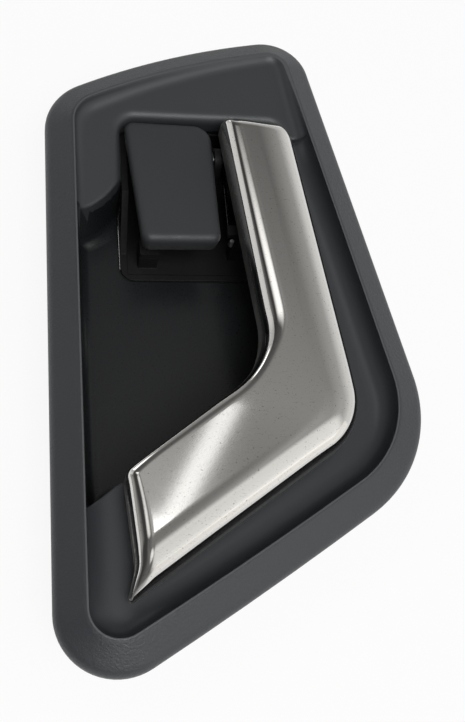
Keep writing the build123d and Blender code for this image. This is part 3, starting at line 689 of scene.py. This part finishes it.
def plate_curve():
    """The plate's outline as a closed dense polyline, in millimetres."""
    a, b, c, d = PLATE_CORNERS
    top = bowed(a, b, TOP_BOW)
    bottom = bowed(c, d, BOTTOM_BOW)
    points = np.vstack([
        fillet_points(d, a, top[TOP_AIMS[0]], PLATE_RADII[0]),
        top[TOP_BETWEEN],
        fillet_points(top[TOP_AIMS[1]], b, c, PLATE_RADII[1]),
        fillet_points(b, c, bottom[BOTTOM_AIMS[0]], PLATE_RADII[2], WIDE_ARC_POINTS),
        bottom[BOTTOM_BETWEEN],
        fillet_points(bottom[BOTTOM_AIMS[1]], d, a, PLATE_RADII[3]),
    ])
    return resample(np.vstack([points, points[:1]]), PLATE_STEP)


def split_bezel():
    """The rim is grained; its crest is rubbed smoother and painted lighter as a highlight. Tray, shelf and
    cup have smoother finishes; the tray is painted a little lighter as light in its gutters, the cup much
    darker as shade in its recess.
    """
    mesh = nodes["bezel"].data
    for mat in (tray_plastic_and_painted_light, shelf_plastic, cup_plastic_and_painted_shade, crest_worn_and_highlight):
        mesh.materials.append(mat)
    centre = np.empty(len(mesh.polygons) * 3, np.float32)
    mesh.polygons.foreach_get("center", centre)
    centre = centre.reshape(-1, 3) / MM
    x, y, z = centre.T
    depth = distance_to(plate_curve(), centre[:, :2].astype(float))
    inside = (depth > RIM_WIDTH - RIM_OVERLAP) & (z < RIM_CREST - CREST_BAND)
    left_of_step = (x < SHELF_STEP[0]) & (y > SHELF_FOOT_Y - SHELF_FOOT_SLACK)
    above_step = y > SHELF_STEP[1] - SHELF_STEP_SLACK
    kind = np.where(inside, TRAY, RIM)
    kind[inside & (z < CUP_TOP)] = CUP
    kind[inside & (z > SHELF_LOWEST) & (left_of_step | above_step)] = SHELF
    kind[z > RIM_CREST - CREST_BAND] = CREST
    mesh.polygons.foreach_set("material_index", kind.astype(np.int32))


def brighten_cut_end():
    """The return spring is painted near black as shade in the gap between knob and lever; the cut end of its
    moving leg stays bright steel.
    """
    mesh = nodes["lever_return_spring"].data
    mesh.materials.append(steel)
    for face in mesh.polygons:
        if face.center.y < SPRING_END_Y * MM:
            face.material_index = 1


split_bezel()
brighten_cut_end()
# the pivot pin takes the near-black spring steel, as painted shade in the gap between knob and lever
nodes["pivot_pin"].data.materials[0] = spring_steel

# Pale floor, white to the camera and in reflections, with a share left for the object's shadow
FLOOR_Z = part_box("bezel")[0].z
FLOOR_SIZE = 4.0
WHITE_SHARE = 0.9
bpy.ops.mesh.primitive_plane_add(size=FLOOR_SIZE, location=(0, 0, FLOOR_Z))
floor = bpy.context.object
floor.name = "floor"
pale = new_material("pale_floor", (0.86, 0.86, 0.86), 0.8, spec=0.1)
path = add_node(pale, "ShaderNodeLightPath")
glow = add_node(pale, "ShaderNodeEmission")
glow.inputs["Color"].default_value = (1, 1, 1, 1)
glow.inputs["Strength"].default_value = 1.0
mix = add_node(pale, "ShaderNodeMixShader")
shown = combine(pale, "MAXIMUM", path.outputs["Is Glossy Ray"], path.outputs["Is Transmission Ray"])
shown = combine(pale, "MAXIMUM", path.outputs["Is Camera Ray"], shown)
link(pale, remap(pale, shown, 0, 1, 0, WHITE_SHARE), mix.inputs["Fac"])
link(pale, pale.node_tree.nodes["Principled BSDF"].outputs["BSDF"], mix.inputs[1])
link(pale, glow.outputs["Emission"], mix.inputs[2])
link(pale, mix.outputs["Shader"], pale.node_tree.nodes["Material Output"].inputs["Surface"])
floor.data.materials.append(pale)


def area_light(name, direction, distance, size, power, colour=(1, 1, 1)):
    """A lamp that faces the object's origin; sizes in metres, power in watts."""
    lamp = bpy.data.lights.new(name, "AREA")
    lamp.shape = "RECTANGLE"
    lamp.size, lamp.size_y = size
    lamp.energy = power
    lamp.color = colour
    obj = bpy.data.objects.new(name, lamp)
    bpy.context.scene.collection.objects.link(obj)
    d = Vector(direction).normalized()
    obj.location = d * distance
    obj.rotation_euler = (-d).to_track_quat("-Z", "Y").to_euler()
    return obj


area_light("left_light", (-0.80, 0.55, 0.25), 0.6, (0.5, 0.3), 0.2)
main_light = area_light("main_light", (0.06, -0.46, 0.89), 1.0, (0.45, 0.45), 5.4)
area_light("right_light", (0.80, -0.58, 0.15), 1.0, (1.0, 0.4), 0.35, (1.0, 0.97, 0.92))
area_light("lamp", (0.145, 0.246, 0.958), 0.8, (0.022, 0.17), 0.014)
area_light("second_lamp", (0.095, 0.165, 0.982), 0.8, (0.040, 0.035), 0.006)

# the chrome mirrors a soft patch of the room where the main light stands, in place of its hard square
shaded = bpy.data.collections.new("shaded_from_main_light")
shaded.objects.link(lever)
shaded.collection_objects[0].light_linking.link_state = "EXCLUDE"
main_light.light_linking.receiver_collection = shaded

# Room: its brightness by height, as the ramp's place and grey
ROOM_HEIGHTS = (
    (0.0, 0.55), (0.22, 0.5), (0.5, 0.16), (0.78, 0.17), (0.85, 0.25), (0.9, 0.34), (0.94, 0.24), (1.0, 0.26),
)
ROOM_COLOUR = (1.0, 0.99, 0.97, 1)
world = bpy.context.scene.world or bpy.data.worlds.new("room")
bpy.context.scene.world = world
world.use_nodes = True
facing = add_node(world, "ShaderNodeTexCoord").outputs["Generated"]
axes = add_node(world, "ShaderNodeSeparateXYZ")
link(world, facing, axes.inputs["Vector"])
height = add_node(world, "ShaderNodeValToRGB")
link(world, axes.outputs["Z"], height.inputs["Fac"])
ramp = height.color_ramp
for at, grey in ROOM_HEIGHTS:
    stop = ramp.elements.new(at) if 0 < at < 1 else ramp.elements[0 if at == 0 else -1]
    stop.color = (grey, grey, grey, 1)


def soft_patch(direction, inner, outer, strength):
    """A round patch of light in the room, full inside one angle and gone at the other, in degrees."""
    towards = add_node(world, "ShaderNodeVectorMath")
    towards.operation = "DOT_PRODUCT"
    towards.inputs[1].default_value = Vector(direction).normalized()
    link(world, facing, towards.inputs[0])
    gone = math.cos(math.radians(outer))
    full = math.cos(math.radians(inner))
    return remap(world, towards.outputs["Value"], gone, full, 0.0, strength, "SMOOTHSTEP")


def below(patch, gone, full):
    """The same patch, gone above one distance up the room and full below the other."""
    return combine(world, "MULTIPLY", patch, remap(world, axes.outputs["Y"], gone, full, 0.0, 1.0))


def across(low, high, to_low, to_high):
    """A value that changes from the left of the room to its right."""
    return remap(world, axes.outputs["X"], low, high, to_low, to_high)


brightness = combine(world, "MULTIPLY", height.outputs["Color"], across(-0.6, 0.1, 0.35, 1.0))
for part in (
    across(0.28, 0.8, 0.0, 0.34),
    below(soft_patch((-0.37, 0.40, 0.84), 2.0, 18.0, 1.5), 0.56, 0.42),
    soft_patch((-0.92, 0.30, 0.23), 5.0, 28.0, 0.25),
    soft_patch((-0.45, 0.87, 0.20), 3.0, 9.0, 2.5),
    soft_patch((0.04, 0.27, 0.96), 2.0, 11.0, 0.25),
    soft_patch((0.66, -0.40, 0.635), 16.0, 29.0, 0.6),
    soft_patch((0.09, -0.41, 0.91), 3.0, 14.0, 0.9),
):
    brightness = combine(world, "ADD", brightness, part)
background = world.node_tree.nodes["Background"]
link(world, brightness, background.inputs["Strength"])
background.inputs["Color"].default_value = ROOM_COLOUR

azimuth, elevation, roll = (math.radians(v) for v in (CAM_AZIMUTH, CAM_ELEVATION, CAM_ROLL))
level = math.cos(elevation)
back = Vector((math.sin(azimuth) * level, -math.cos(azimuth) * level, math.sin(elevation)))
right = (-back).cross(Vector((0, 0, 1))).normalized()
up = right.cross(-back)
view_x = math.cos(roll) * right + math.sin(roll) * up
view_y = -math.sin(roll) * right + math.cos(roll) * up
place = (Vector(CAM_AIM) + back * CAM_DISTANCE) * MM
cam = bpy.data.cameras.new("camera")
cam.lens = CAM_LENS
cam.sensor_width = SENSOR_WIDTH
cam.clip_start = CAM_CLIP
cam_obj = bpy.data.objects.new("camera", cam)
bpy.context.scene.collection.objects.link(cam_obj)
cam_obj.matrix_world = Matrix((
    (view_x.x, view_y.x, back.x, place.x),
    (view_x.y, view_y.y, back.y, place.y),
    (view_x.z, view_y.z, back.z, place.z),
    (0, 0, 0, 1),
))
bpy.context.scene.camera = cam_obj
bpy.context.scene.view_settings.view_transform = "Standard"
